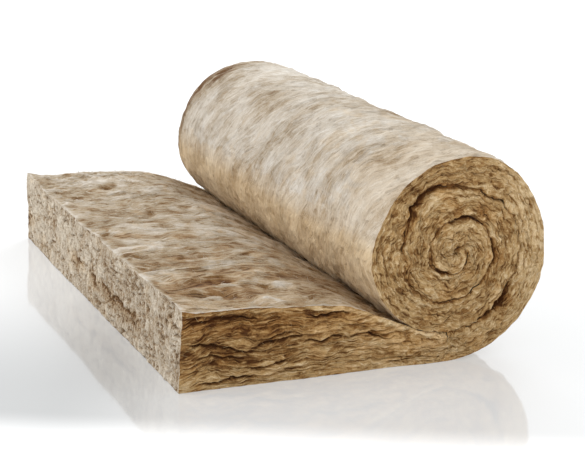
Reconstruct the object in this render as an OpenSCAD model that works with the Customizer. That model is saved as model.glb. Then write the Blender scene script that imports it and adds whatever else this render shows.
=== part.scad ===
// Roll of glass wool insulation, partly unrolled: one mat, lying flat at its cut end and wound up at the other.
// X runs along the flat length towards the roll, Y along the roll's axis, Z up.
// The origin is on the floor, below the middle of the overall size.

/* [Mat] */
// Width of the mat, which is the length of the roll
mat_width = 1200; // [400:10:2400]
// Thickness of the mat where nothing presses it
free_thickness = 175; // [90:5:240]

/* [Roll] */
// Height of the roll, from the floor to its top
roll_height = 460; // [380:5:640]
// Thickness of one turn, pressed by the winding
turn_thickness = 68; // [40:1:100]

/* [Flat length] */
// Length lying flat, from the cut end to below the roll's axis
flat_length = 630; // [460:10:2000]
// Length over which the mat is pressed down to one turn, ahead of the roll's axis
press_length = 340; // [240:10:440]
// Length over which roll and flat length are pressed together, ahead of the roll's axis
nip_length = 56; // [20:1:90]

/* [Turn seam] */
// Width of the seam between turns, on both ends of the roll
seam_width = 5; // [3:0.5:10]
// Depth of the seam into each end
seam_depth = 25; // [10:1:60]

/* [Hidden] */
$fn = 96;

// Number of straight steps in the slope that leads under the roll
slope_steps = 24;
// How far a cutting shape runs past the face that it cuts
overrun = 1;

wool_color = [0.66, 0.55, 0.40];
overall_length = flat_length + roll_height / 2;
// The winding is a spiral of half circles: the even ones on the right of the axis, the odd ones on its left.
last_half_turn = floor((roll_height - turn_thickness / 2) / turn_thickness);

// Radius of the outside of half turn i
function half_turn_radius(i) = (roll_height - i * turn_thickness) / 2;

// Height of the centre of half turn i
function half_turn_height(i) = (roll_height + (i % 2) * turn_thickness) / 2;

// Height of the mat's upper face at a distance ahead of the roll's axis
function flat_top(ahead) =
    turn_thickness + (free_thickness - turn_thickness) * (1 - cos(180 * min(ahead / press_length, 1))) / 2;

// The half plane on one side of the roll's axis: side is 1 for the right and -1 for the left
module half_plane(side, reach) {
    translate([side > 0 ? 0 : -reach, -reach])
        square([reach, 2 * reach]);
}

// A half disc of half turn i, in the section
module half_turn_disc(i) {
    radius = half_turn_radius(i);
    translate([flat_length, half_turn_height(i)])
        intersection() {
            circle(r = radius);
            half_plane(1 - 2 * (i % 2), radius + overrun);
        }
}

// The seam outside half turn i, in the section
module half_turn_seam(i) {
    radius = half_turn_radius(i);
    translate([flat_length, half_turn_height(i)])
        intersection() {
            difference() {
                circle(r = radius + seam_width / 2);
                circle(r = radius - seam_width / 2);
            }
            half_plane(1 - 2 * (i % 2), radius + seam_width);
        }
}

// The flat length with its slope, up to the nip where it meets the roll
module flat_section() {
    slope = [
        for (k = [0:slope_steps])
            let (ahead = nip_length + (press_length - nip_length) * k / slope_steps)
            [flat_length - ahead, flat_top(ahead)]
    ];
    polygon(concat(
        [
            [0, 0],
            [flat_length, 0],
            [flat_length, half_turn_height(1)],
            [flat_length - nip_length, half_turn_height(1)],
        ],
        slope,
        [[0, free_thickness]]
    ));
}

// The whole mat in section: the flat length, and the roll's two outer half turns filled in
module mat_section() {
    flat_section();
    half_turn_disc(0);
    half_turn_disc(1);
}

// Every seam between turns, in the section
module seam_section() {
    for (i = [2:last_half_turn])
        half_turn_seam(i);
}

// Stands a section up and draws it out along Y, from one distance across the mat to another
module across(from, to) {
    translate([-overall_length / 2, to, 0])
        rotate([90, 0, 0])
            linear_extrude(height = to - from)
                children();
}

module wool_mat() {
    color(wool_color)
        difference() {
            across(-mat_width / 2, mat_width / 2)
                mat_section();
            across(-mat_width / 2 - overrun, -mat_width / 2 + seam_depth)
                seam_section();
            across(mat_width / 2 - seam_depth, mat_width / 2 + overrun)
                seam_section();
        }
}

wool_mat();
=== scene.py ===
"""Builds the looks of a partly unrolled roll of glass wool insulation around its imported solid.

The mat is one piece of wool.  What shows of it is built as eight fine skins that meet edge to edge: the
wound outside of the roll, the top of the flat length, its cut end, its underside, the two sides of the
flat length, where its layers show, and the two ends of the roll, where its spiral shows.  Loose fibres
lie on them.
"""

from __future__ import annotations

import logging
import math
from dataclasses import dataclass
from enum import Enum
from typing import ClassVar

import bmesh
import bpy
import numpy as np
from mathutils import Matrix, Vector

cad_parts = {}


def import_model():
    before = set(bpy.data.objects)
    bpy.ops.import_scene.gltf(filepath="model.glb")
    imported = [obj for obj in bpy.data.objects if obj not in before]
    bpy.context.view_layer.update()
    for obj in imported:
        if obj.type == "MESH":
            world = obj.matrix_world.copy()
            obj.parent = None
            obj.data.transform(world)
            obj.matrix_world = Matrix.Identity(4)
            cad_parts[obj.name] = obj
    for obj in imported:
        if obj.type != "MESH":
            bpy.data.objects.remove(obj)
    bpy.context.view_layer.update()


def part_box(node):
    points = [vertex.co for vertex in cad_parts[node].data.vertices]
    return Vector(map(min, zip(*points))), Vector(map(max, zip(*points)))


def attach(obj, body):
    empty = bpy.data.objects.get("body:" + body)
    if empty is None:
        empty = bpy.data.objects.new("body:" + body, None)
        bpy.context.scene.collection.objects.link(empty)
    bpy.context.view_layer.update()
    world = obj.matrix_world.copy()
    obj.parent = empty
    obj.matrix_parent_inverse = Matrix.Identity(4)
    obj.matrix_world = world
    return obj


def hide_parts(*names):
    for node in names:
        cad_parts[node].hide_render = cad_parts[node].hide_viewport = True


log = logging.getLogger("insulation_roll")

FULL_TURN = 2 * math.pi
NODE = "wool_mat"
BODY = "root"
BAKE_MAP = "OFBake"

Place = tuple[float, float, float]
Colour = tuple[float, float, float]
Values = np.ndarray | float


# ---------------------------------------------------------------- arrays


def smooth_step(value: np.ndarray, low: float, high: float) -> np.ndarray:
    """Returns 0 below low, 1 above high and an S-curve between them."""
    share = np.clip((value - low) / (high - low), 0.0, 1.0)
    return share * share * (3 - 2 * share)


def hump(value: np.ndarray, middle: float, reach: float) -> np.ndarray:
    """Returns a bell curve that is 1 at middle and has died out at about twice reach."""
    return np.exp(-(((value - middle) / reach) ** 2))


def stack(*parts: np.ndarray) -> np.ndarray:
    """Returns the parts, spread to one shape, as the last axis of one array."""
    return np.stack(np.broadcast_arrays(*parts), axis=-1)


class WoolNoise:
    """Seeded gradient noise, worked out for whole arrays of points at once."""

    CELLS: ClassVar[int] = 256
    GAIN: ClassVar[float] = 1.6
    OCTAVE_SHIFT: ClassVar[float] = 7.3

    def __init__(self, seed: int) -> None:
        """Shuffles the lattice.

        Args:
            seed: The number that fixes the pattern.
        """
        random = np.random.default_rng(seed)
        self.order = random.permutation(self.CELLS)
        slopes = random.normal(size=(self.CELLS, 3))
        self.slopes = slopes / np.linalg.norm(slopes, axis=1, keepdims=True)

    def at(self, u: Values, v: Values, w: Values) -> np.ndarray:
        """Returns the noise, from about -1 to 1, with features about one unit wide.

        Args:
            u: First coordinate.
            v: Second coordinate.
            w: Third coordinate.

        Returns:
            An array of the coordinates' common shape.
        """
        place = stack(u, v, w).astype(float)
        cell = np.floor(place).astype(int)
        inside = place - cell
        share = inside**3 * (inside * (inside * 6 - 15) + 10)
        total = np.zeros(place.shape[:-1])
        for corner in np.ndindex(2, 2, 2):
            i, j, k = (cell[..., axis] + corner[axis] for axis in range(3))
            row = self.order[(self.order[i % self.CELLS] + j) % self.CELLS]
            slope = self.slopes[self.order[(row + k) % self.CELLS]]
            weight = np.prod(np.where(corner, share, 1 - share), axis=-1)
            total += weight * ((inside - corner) * slope).sum(-1)
        return total * self.GAIN

    def rough(self, u: Values, v: Values, w: Values, octaves: int) -> np.ndarray:
        """Returns the noise with finer and weaker copies of itself added.

        Args:
            u: First coordinate.
            v: Second coordinate.
            w: Third coordinate.
            octaves: How many copies there are.

        Returns:
            An array of the coordinates' common shape.
        """
        total = 0.0
        for octave in range(octaves):
            finer = 2**octave
            total = total + self.at(u * finer, v * finer, w + self.OCTAVE_SHIFT * octave) / finer
        return total


@dataclass(frozen=True)
class Pattern:
    """Noise laid over a surface along two of its coordinates, with features sized in metres.

    Each of its methods takes the features' length and width and the number of a layer, which picks one
    of many unlike patterns.

    Attributes:
        noise: The noise.
        u: First coordinate of each point, in metres.
        v: Second coordinate of each point, in metres.
    """

    noise: WoolNoise
    u: np.ndarray
    v: np.ndarray

    def at(self, length: Values, width: Values, layer: float) -> np.ndarray:
        """Returns smooth noise from about -1 to 1."""
        return self.noise.at(self.u / length, self.v / width, layer)

    def rough(self, length: Values, width: Values, layer: float, octaves: int = 3) -> np.ndarray:
        """Returns noise with finer and weaker copies of itself added."""
        return self.noise.rough(self.u / length, self.v / width, layer, octaves)

    def crests(self, length: Values, width: Values, layer: float) -> np.ndarray:
        """Returns narrow crests: 1 along them and 0 in the hollows between."""
        return (1 - np.clip(np.abs(self.at(length, width, layer)) * 1.8, 0, 1)) ** 2

    def patches(self, length: Values, width: Values, layer: float, low: float, high: float) -> np.ndarray:
        """Returns patches: 1 where the noise is above high and 0 where it is below low."""
        return smooth_step(self.at(length, width, layer), low, high)


# ---------------------------------------------------------------- meshes


def placed(name: str, data: bpy.types.ID) -> bpy.types.Object:
    """Returns a new object at the origin that holds some data, linked to the scene."""
    made = bpy.data.objects.new(name, data)
    bpy.context.scene.collection.objects.link(made)
    return made


def lay_bake_map(mesh: bpy.types.Mesh, places: np.ndarray) -> None:
    """Lays a mesh's bake map, from two coordinates for each of its points."""
    corner = np.empty(len(mesh.loops), np.int32)
    mesh.loops.foreach_get("vertex_index", corner)
    layer = mesh.uv_layers.new(name=BAKE_MAP)
    layer.uv.foreach_set("vector", places[corner].astype(np.float32).ravel())


def weld(mesh: bpy.types.Mesh, distance: float) -> None:
    """Merges a mesh's points that lie closer together than a distance in metres."""
    work = bmesh.new()
    work.from_mesh(mesh)
    bmesh.ops.remove_doubles(work, verts=work.verts, dist=distance)
    work.to_mesh(mesh)
    work.free()


@dataclass
class Grid:
    """A surface of quads over two directions, whose faces point towards first x second.

    Attributes:
        points: Places in metres, as an array of first x second x 3.
        bake: Two coordinates from 0 to 1 for each point, for the bake map.
        values: Named numbers or vectors for each point, which the finishes read.
    """

    points: np.ndarray
    bake: np.ndarray
    values: dict[str, np.ndarray]

    def object(self, name: str, material: bpy.types.Material, merge: float = 0.0) -> bpy.types.Object:
        """Makes the surface an object at the origin.

        Args:
            name: Name of the piece.
            material: Its finish.
            merge: Points closer than this become one, in metres, or 0 to leave them.

        Returns:
            The new object, linked to the scene.
        """
        first, second = self.points.shape[:2]
        index = np.arange(first * second).reshape(first, second)
        faces = stack(index[:-1, :-1], index[1:, :-1], index[1:, 1:], index[:-1, 1:]).reshape(-1, 4)
        mesh = bpy.data.meshes.new(name)
        mesh.from_pydata(self.points.reshape(-1, 3).tolist(), [], faces.tolist())
        lay_bake_map(mesh, self.bake.reshape(-1, 2))
        for title, value in self.values.items():
            kind, field = ("FLOAT_VECTOR", "vector") if value.ndim == 3 else ("FLOAT", "value")
            held = mesh.attributes.new(title, kind, "POINT")
            held.data.foreach_set(field, value.astype(np.float32).ravel())
        mesh.materials.append(material)
        if merge:
            weld(mesh, merge)
        mesh.shade_smooth()
        return placed(name, mesh)


# ---------------------------------------------------------------- the mat's shape


class Side(Enum):
    """The two sides of the mat, by the way that each faces along Y."""

    NEAR = -1
    FAR = 1


@dataclass(frozen=True)
class MatShape:
    """The mat's section and width, in metres, and the shared unevenness of its skins.

    Attributes:
        left: X of the cut end.
        axis: X of the roll's axis.
        half_width: Half the mat's width.
        roll_height: Height of the roll.
        turn: Thickness of one turn of the roll.
        free: Thickness of the flat length where nothing presses it.
        press: Length over which the flat length is pressed down, ahead of the axis.
        nip: Length over which roll and flat length touch, ahead of the axis.
        columns: Steps along the flat length.
        turn_columns: Steps round one turn of the roll.
        width_columns: Steps across the mat.

    BULGES holds the places where the roll bulges: the angle, in degrees anticlockwise from the bottom, the
    height, in metres, and the reach, in radians.
    """

    left: float
    axis: float
    half_width: float
    roll_height: float
    turn: float = 0.068
    free: float = 0.175
    press: float = 0.34
    nip: float = 0.056
    columns: int = 190
    turn_columns: int = 288
    width_columns: int = 300

    BULGES: ClassVar[tuple] = ((47, 0.003, 0.35), (150, 0.005, 0.4), (275, 0.006, 0.5))

    @classmethod
    def from_frame(cls) -> MatShape:
        """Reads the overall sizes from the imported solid."""
        low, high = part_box(NODE)
        half_width = (high.y - low.y) / 2
        return cls(left=low.x, axis=high.x - high.z / 2, half_width=half_width, roll_height=high.z)

    @property
    def core_height(self) -> float:
        """Height of the spiral's middle."""
        return self.roll_height / 2 + self.turn / 4

    @property
    def full_angle(self) -> float:
        """Angle at which the spiral reaches its middle."""
        return FULL_TURN * self.core_height / self.turn

    def radius(self, angle: np.ndarray) -> np.ndarray:
        """Returns the spiral's radius at an angle, which runs anticlockwise from the bottom."""
        spiral = self.core_height - self.turn * angle / FULL_TURN
        once = np.clip(angle, 0, FULL_TURN)
        bulge = sum(height * hump(once, math.radians(at), reach) for at, height, reach in self.BULGES)
        return spiral + bulge * smooth_step(spiral, 0.12, 0.19)

    def on_spiral(self, angle: np.ndarray, radius: np.ndarray) -> tuple[np.ndarray, np.ndarray]:
        """Returns the X and Z of a place on the roll's end."""
        return self.axis + radius * np.sin(angle), self.core_height - radius * np.cos(angle)

    def flat_top(self, x: np.ndarray, y: np.ndarray | float) -> np.ndarray:
        """Returns the height of the flat length's top.

        Args:
            x: Place along the mat.
            y: Place across the mat.

        Returns:
            Heights, down to the underside of the roll at and past the nip.
        """
        ahead = self.axis - x
        slope = 1 - np.cos(math.pi * np.clip(ahead / self.press, 0, 1))
        height = self.turn + (self.free - self.turn) * slope / 2
        edge = hump(np.abs(y), self.half_width, 0.16)
        sag = 0.015 * hump(x, self.left + 0.29, 0.13) + 0.004 * hump(x, self.left + 0.08, 0.06)
        lift = 0.005 * hump(x, self.left, 0.02)
        crown = 0.004 * (1 - edge) * hump(x, self.left + 0.2, 0.12)
        crown = crown + 0.008 * hump(y, 0.6, 0.5) * hump(x, self.left + 0.25, 0.1)
        height = height + crown - edge * (sag - lift)
        reach = self.core_height - self.turn * 0.99
        under = self.core_height - np.sqrt(np.clip(reach**2 - ahead**2, 0, None))
        return np.where(ahead < self.nip, np.minimum(height, under), height)

    def share_across(self, y: np.ndarray) -> np.ndarray:
        """Returns how far across the mat places lie, from 0 at its near side to 1."""
        return (y + self.half_width) / (2 * self.half_width)

    def flat_stations(self) -> np.ndarray:
        """Returns the X places at which the flat length's skins are worked out."""
        return np.linspace(self.left, self.axis, self.columns + 1)

    def width_stations(self, columns: int = 0) -> np.ndarray:
        """Returns the Y places at which a skin is worked out, in the usual number of steps or another."""
        return np.linspace(-self.half_width, self.half_width, (columns or self.width_columns) + 1)


class Unevenness:
    """The unevenness that all skins share, so that they still meet edge to edge.

    WAVES holds the length and depth of each kind of wave, in metres, the longest first.
    """

    WAVES: ClassVar[tuple] = ((0.22, 0.0040), (0.07, 0.0020), (0.028, 0.0015), (0.013, 0.0009))

    def __init__(self) -> None:
        """Picks the patterns."""
        self.swell = [WoolNoise(11 + axis) for axis in range(3)]

    def moved(self, x: np.ndarray, y: np.ndarray, z: np.ndarray) -> np.ndarray:
        """Returns places on the even mat moved to where they are on the uneven one.

        Args:
            x: Places along the mat.
            y: Places across it.
            z: Heights.

        Returns:
            The moved places, never below the floor.
        """
        place = stack(x, y, z)
        shift = np.zeros_like(place)
        for length, depth in self.WAVES:
            u, v, w = (place[..., axis] / length for axis in range(3))
            for axis in range(3):
                shift[..., axis] += depth * self.swell[axis].at(u + 3.1 * axis, v, w)
        shift[..., 2] *= smooth_step(place[..., 2], 0.0, 0.05)
        place = place + shift
        place[..., 2] = np.maximum(place[..., 2], 0.0)
        return place


def grid_normals(points: np.ndarray) -> np.ndarray:
    """Returns the unit normals of a grid of points, towards first x second."""
    along = np.gradient(points, axis=0)
    across = np.gradient(points, axis=1)
    normal = np.cross(along, across)
    return normal / np.maximum(np.linalg.norm(normal, axis=-1, keepdims=True), 1e-12)


# ---------------------------------------------------------------- finishes


class Socket:
    """A value in a node tree, with which sums are written as Python expressions."""

    def __init__(self, tree: bpy.types.NodeTree, source: bpy.types.NodeSocket) -> None:
        """Wraps an output socket of a tree."""
        self.tree = tree
        self.source = source

    def _maths(self, operation: str, *values: Socket | float) -> Socket:
        """Returns a Math node's result for these values."""
        return Tree(self.tree).node("ShaderNodeMath", dict(enumerate(values)), operation=operation)

    def __add__(self, other: Socket | float) -> Socket:
        """Adds."""
        return self._maths("ADD", self, other)

    __radd__ = __add__

    def __mul__(self, other: Socket | float) -> Socket:
        """Multiplies."""
        return self._maths("MULTIPLY", self, other)

    __rmul__ = __mul__

    def __sub__(self, other: Socket | float) -> Socket:
        """Subtracts."""
        return self._maths("SUBTRACT", self, other)

    def __rsub__(self, other: Socket | float) -> Socket:
        """Subtracts from a number."""
        return self._maths("SUBTRACT", other, self)

    def __abs__(self) -> Socket:
        """Drops the sign."""
        return self._maths("ABSOLUTE", self)

    def between(self, low: float, high: float) -> Socket:
        """Returns 0 below low, 1 above high and an S-curve between them."""
        settings = {"Value": self, "From Min": low, "From Max": high}
        return Tree(self.tree).node("ShaderNodeMapRange", settings, interpolation_type="SMOOTHSTEP")


class Tree:
    """A node tree and the one way in which nodes are added to it."""

    def __init__(self, tree: bpy.types.NodeTree) -> None:
        """Wraps a tree."""
        self.tree = tree

    @classmethod
    def of_material(cls, name: str) -> tuple[bpy.types.Material, Tree]:
        """Returns a new material and its tree, which is empty."""
        material = bpy.data.materials.new(name)
        material.use_nodes = True
        material.node_tree.nodes.clear()
        return material, cls(material.node_tree)

    def node(
        self, kind: str, values: dict | None = None, output: int | str = 0, **settings: object
    ) -> Socket:
        """Adds a node.

        Args:
            kind: The node's type.
            values: A number, colour or link for each input that is set, by name or by place.
            output: The output that is returned.
            settings: The node's own settings, which are set before its inputs.

        Returns:
            The output, wrapped.
        """
        made = self.tree.nodes.new(kind)
        stops = settings.pop("stops", None)
        for name, value in settings.items():
            setattr(made, name, value)
        if stops:
            ramp = made.color_ramp
            while len(ramp.elements) < len(stops):
                ramp.elements.new(0.5)
            for element, (place, colour) in zip(ramp.elements, stops, strict=True):
                element.position = place
                element.color = (*colour, 1.0)
        for name, value in (values or {}).items():
            if isinstance(value, (Socket, list)):
                for link in value if isinstance(value, list) else [value]:
                    self.tree.links.new(link.source, made.inputs[name])
            else:
                made.inputs[name].default_value = value
        return Socket(self.tree, made.outputs[output])

    def finish(self, surface: Socket, kind: str = "ShaderNodeOutputMaterial") -> None:
        """Adds the output of a material or of the world and links its surface."""
        out = self.tree.nodes.new(kind)
        self.tree.links.new(surface.source, out.inputs["Surface"])

    def attribute(self, name: str, output: str = "Fac") -> Socket:
        """Returns one of the surface's own values."""
        return self.node("ShaderNodeAttribute", output=output, attribute_name=name)

    def random(self, low: float, high: float, seed: int) -> Socket:
        """Returns a random number for each point or instance of a Geometry Nodes tree."""
        values = {2: low, 3: high, "Seed": seed}
        return self.node("FunctionNodeRandomValue", values, output=1, data_type="FLOAT")

    def mixed(self, share: Socket | float, first: object, second: object, blend: str = "MIX") -> Socket:
        """Returns a colour between two colours, or one blended over the other."""
        values = {0: share, 6: first, 7: second}
        return self.node("ShaderNodeMix", values, output=2, data_type="RGBA", blend_type=blend)

    def scaled(self, vector: Socket, scale: Place) -> Socket:
        """Returns a vector multiplied by three numbers."""
        return self.node("ShaderNodeVectorMath", {0: vector, 1: scale}, operation="MULTIPLY")

    def turned(self, vector: Socket, degrees: float) -> Socket:
        """Returns a vector turned about Z."""
        values = {"Vector": vector, "Angle": math.radians(degrees)}
        return self.node("ShaderNodeVectorRotate", values, rotation_type="Z_AXIS")

    def noise(
        self, vector: Socket, detail: float = 2.0, roughness: float = 0.5, distortion: float = 0.0
    ) -> Socket:
        """Returns noise from 0 to 1 with features about one unit wide."""
        values = {"Vector": vector, "Scale": 1.0, "Detail": detail}
        values |= {"Roughness": roughness, "Distortion": distortion}
        return self.node("ShaderNodeTexNoise", values)

    def lines(self, vector: Socket, width: float) -> Socket:
        """Returns thin lines: 1 along them and 0 between, of a width given as a share of their spacing."""
        return 1 - abs(self.noise(vector, 2.0, 0.5, 0.5) - 0.5).between(0.0, width)


@dataclass(frozen=True)
class WoolFinish:
    """A finish of glass wool, whose streaks follow the surface's own "flow" attribute.

    Attributes:
        name: Name of the material.
        hollow: Colour deep between the layers: painted shade that the darkest crevices, pits and gaps take.
        brown: Colour of bare binder.
        tan: Colour of most of the wool.
        pale: Colour of the outermost fibres.
        golden: Colour that stains of binder lean to.
        streak: Length and width of a streak, in metres.
        strand: Length and spacing of the thin dark and pale lines between layers, in metres.
        crevices: How dark the thin dark lines are, which paint shade into the crevices between layers.
        threads: How bright the thin pale lines are.
        spread: How strongly the streaks change the colour.
        patches: How strongly broad patches change the colour.
        grain: How strongly fine specks change the colour.
        fibre: Length and width of a single fibre's mark, in metres.
        relief: Depth of the finest relief, in metres.
        sheen: Strength of the sheen.

    CROSSING holds the two directions in which fibres cross the streaks, in degrees.  SPECKS, PATCHES,
    STAINS and SPLITS say how many of each there are to a metre along X, Y and Z.
    """

    name: str
    hollow: Colour
    brown: Colour
    tan: Colour
    pale: Colour
    golden: Colour
    streak: tuple[float, float]
    strand: tuple[float, float]
    crevices: float
    threads: float
    spread: float
    patches: float
    grain: float
    fibre: tuple[float, float] = (0.03, 0.003)
    relief: float = 0.0022
    sheen: float = 0.1

    CROSSING: ClassVar[tuple[float, float]] = (13.0, -17.0)
    SPECKS: ClassVar[Place] = (260.0, 260.0, 260.0)
    PATCHES: ClassVar[Place] = (13.0, 13.0, 13.0)
    STAINS: ClassVar[Place] = (21.0, 17.0, 23.0)
    SPLITS: ClassVar[Place] = (30.0, 30.0, 60.0)

    def material(self) -> bpy.types.Material:
        """Builds the finish.

        Returns:
            A material that reads the attributes "flow", "height", "tone" and "golden"; "height" paints shade
            where it is low and light where it is high.
        """
        material, tree = Tree.of_material(self.name)
        flow = tree.attribute("flow", "Vector")
        height, tone, golden = (tree.attribute(name) for name in ("height", "tone", "golden"))
        place = tree.node("ShaderNodeTexCoord", output="Object")
        size = (1 / self.streak[0], 1 / self.streak[1], 1.0)
        streaks = tree.noise(tree.scaled(flow, size), 3.0, 0.6, 0.4)
        size = (1 / self.fibre[0], 1 / self.fibre[1], 1.0)
        one_way, other_way = (
            tree.noise(tree.scaled(tree.turned(flow, degrees), size), 2.0, 0.6) for degrees in self.CROSSING
        )
        fibres = (one_way + other_way) * 0.5
        specks = tree.noise(tree.scaled(place, self.SPECKS), 2.0, 0.7)
        patch = tree.noise(tree.scaled(place, self.PATCHES), 3.0, 0.6, 0.6)
        here = tree.noise(tree.scaled(place, self.SPLITS), 1.0)
        split = tree.scaled(flow, (1 / self.strand[0], 1 / self.strand[1], 1.0))
        # Painted shade: thin dark lines darken the colour along the crevices between layers.
        crevices = tree.lines(split, 0.08) * here.between(0.40, 0.60)
        raised = tree.scaled(tree.turned(flow, 3.0), (1.3 / self.strand[0], 1.2 / self.strand[1], 1.0))
        threads = tree.lines(raised, 0.06) * here.between(0.62, 0.45)
        # Painted shade and light: the colour darkens where "height" is low, in hollows, and pales where it
        # is high, on crests.
        value = 0.5 + height * 0.15 + (streaks - 0.5) * self.spread + (fibres - 0.5) * (self.spread * 1.2)
        value = value + (patch - 0.5) * self.patches + tone * 0.25 + (specks - 0.5) * self.grain
        value = value + threads * self.threads - crevices * self.crevices
        # The ramp runs from painted shade deep between the layers up to the palest fibres.
        stops = [(0.0, self.hollow), (0.3, self.brown), (0.55, self.tan), (0.95, self.pale)]
        colour = tree.node("ShaderNodeValToRGB", {"Fac": value}, stops=stops)
        stain = tree.noise(tree.scaled(place, self.STAINS), 2.0, 0.6, 0.5)
        stain = (stain + golden * 0.3).between(0.5, 0.72) * 0.34 + golden.between(0.6, 3.6) * 0.66
        colour = tree.mixed(stain, colour, (*self.golden, 1.0), "MULTIPLY")
        bumps = streaks * 0.7 + fibres * 1.1 + specks * 0.4 + threads * 0.5 - crevices * 0.9
        normal = tree.node("ShaderNodeBump", {"Height": bumps, "Strength": 0.9, "Distance": self.relief})
        values = {"Base Color": colour, "Normal": normal, "Roughness": 0.95, "Sheen Weight": self.sheen}
        values |= {"Sheen Roughness": 0.5, "Sheen Tint": (1.0, 0.93, 0.82, 1.0), "Specular IOR Level": 0.15}
        tree.finish(tree.node("ShaderNodeBsdfPrincipled", values))
        return material


# ---------------------------------------------------------------- skins


@dataclass
class Fabric:
    """What every skin is made from: the mat's shape and the unevenness that they share."""

    shape: MatShape
    uneven: Unevenness

    def raised(self, base: np.ndarray, relief: np.ndarray) -> np.ndarray:
        """Returns a grid of places raised along its own normals, never below the floor."""
        points = base + grid_normals(base) * relief[..., None]
        points[..., 2] = np.maximum(points[..., 2], 0.0)
        return points


@dataclass
class WoundSkin(Fabric):
    """The wound outside of the roll, from where it leaves the floor round to the nip.

    Attributes:
        tuck: How far the skin goes on under the roll, in metres.
        lean: How far the streaks lean across the mat for each metre round the roll.
        seed: The number that fixes its pattern.
    """

    tuck: float = 0.07
    lean: float = 0.26
    seed: int = 41

    def grid(self) -> Grid:
        """Builds the surface.

        Returns:
            A grid round the roll by across the mat, with its streaks' directions.
        """
        shape = self.shape
        step = FULL_TURN / shape.turn_columns
        end = FULL_TURN - (shape.nip - self.tuck / 3) / shape.core_height
        angle = np.arange(0, end, step)[:, None]
        y = shape.width_stations()[None, :]
        x, z = shape.on_spiral(angle, shape.radius(angle))
        base = self.uneven.moved(*np.broadcast_arrays(x, y, z))
        arc = angle * shape.roll_height / 2
        noise = WoolNoise(self.seed)
        plain = Pattern(noise, arc, y)
        drift = 0.05 * plain.rough(0.4, 0.3, 0.31) + 0.009 * plain.at(0.09, 0.07, 3.37)
        across = y - self.lean * arc + drift
        along = arc + self.lean * y
        woven = Pattern(noise, along, across)
        edge = np.minimum(shape.half_width - np.abs(y), arc)
        inside = smooth_step(edge, 0.0, 0.025)
        swell = woven.rough(0.16, 0.06, 1.33)
        strands = woven.crests(0.08, 0.014, 5.41)
        threads = woven.at(0.045, 0.008, 9.37)
        folds = woven.crests(0.20, 0.05, 12.43) * plain.patches(0.2, 0.15, 2.3, 0, 0.5)
        tufts = woven.patches(0.055, 0.028, 14.41, 0.25, 0.7)
        lumps = woven.rough(0.075, 0.04, 16.37)
        small = plain.rough(0.034, 0.022, 18.37)
        relief = 0.004 * swell + 0.0035 * lumps + 0.0008 * strands + 0.0006 * threads + 0.002 * folds
        relief = relief + 0.002 * tufts + 0.002 * small - 0.003
        clouds = woven.rough(0.17, 0.08, 20.37)
        wisps = woven.at(0.05, 0.008, 23.41)
        spots = plain.patches(0.035, 0.03, 31.37, 0.35, 0.7)
        layered = 0.5 + 1.6 * np.abs(Pattern(noise, arc, y + 0.1 * drift).at(0.12, 0.016, 27.39)) ** 0.5
        far_reach = 0.024 + 0.06 * hump(angle, math.radians(208), 0.45)
        far_rim = hump(shape.half_width - y, 0.0, far_reach) * layered
        near_rim = hump(shape.half_width + y, 0.0, 0.035)
        near_end = hump(shape.half_width + y, 0.0, 0.28)
        far_end = hump(y, 0.6, 0.4)
        # Painted light and shade towards the crease under the roll: a little paler, to lift the shadow that
        # the flat length casts there, and much more golden, for the crease's warm shade.
        painted_crease_shading = smooth_step(angle, math.radians(251), math.radians(279))
        # Painted shade: the roll's crown is darker and less golden, to tone down the back lamp's light where
        # it falls strongest.
        crown = hump(angle, math.radians(210), 0.4) * hump(y, 0.16, 0.27)
        tone = 0.8 * clouds + 0.15 * wisps - 1.5 * far_rim + 0.1 * near_rim + 0.1 * painted_crease_shading - 0.35 * crown
        tone = tone - 0.15 * spots + 0.15 * small + 0.1
        golden = 3.6 * painted_crease_shading + 0.4 * spots + 0.2 * far_rim + 1.0 * near_end - 0.6 * crown - 0.5 * far_end
        # Painted shade and light: height, which the finish turns into colour, darkens between strands,
        # threads, folds and tufts and pales where they stand up.
        height = 0.25 * strands + 0.3 * threads + 0.3 * folds + 0.5 * tufts + 0.3 * swell
        fuzz = (0.4 + 0.5 * tufts + 2.5 * hump(edge, 0.0, 0.03)) * smooth_step(base[..., 2], 0.02, 0.05)
        flow = stack(along, across, 0.0 * along)
        values = {"flow": flow, "height": height, "tone": tone, "fuzz": fuzz, "golden": golden}
        bake = stack(angle / FULL_TURN, shape.share_across(y))
        return Grid(self.raised(base, relief * inside), bake, values)


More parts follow.
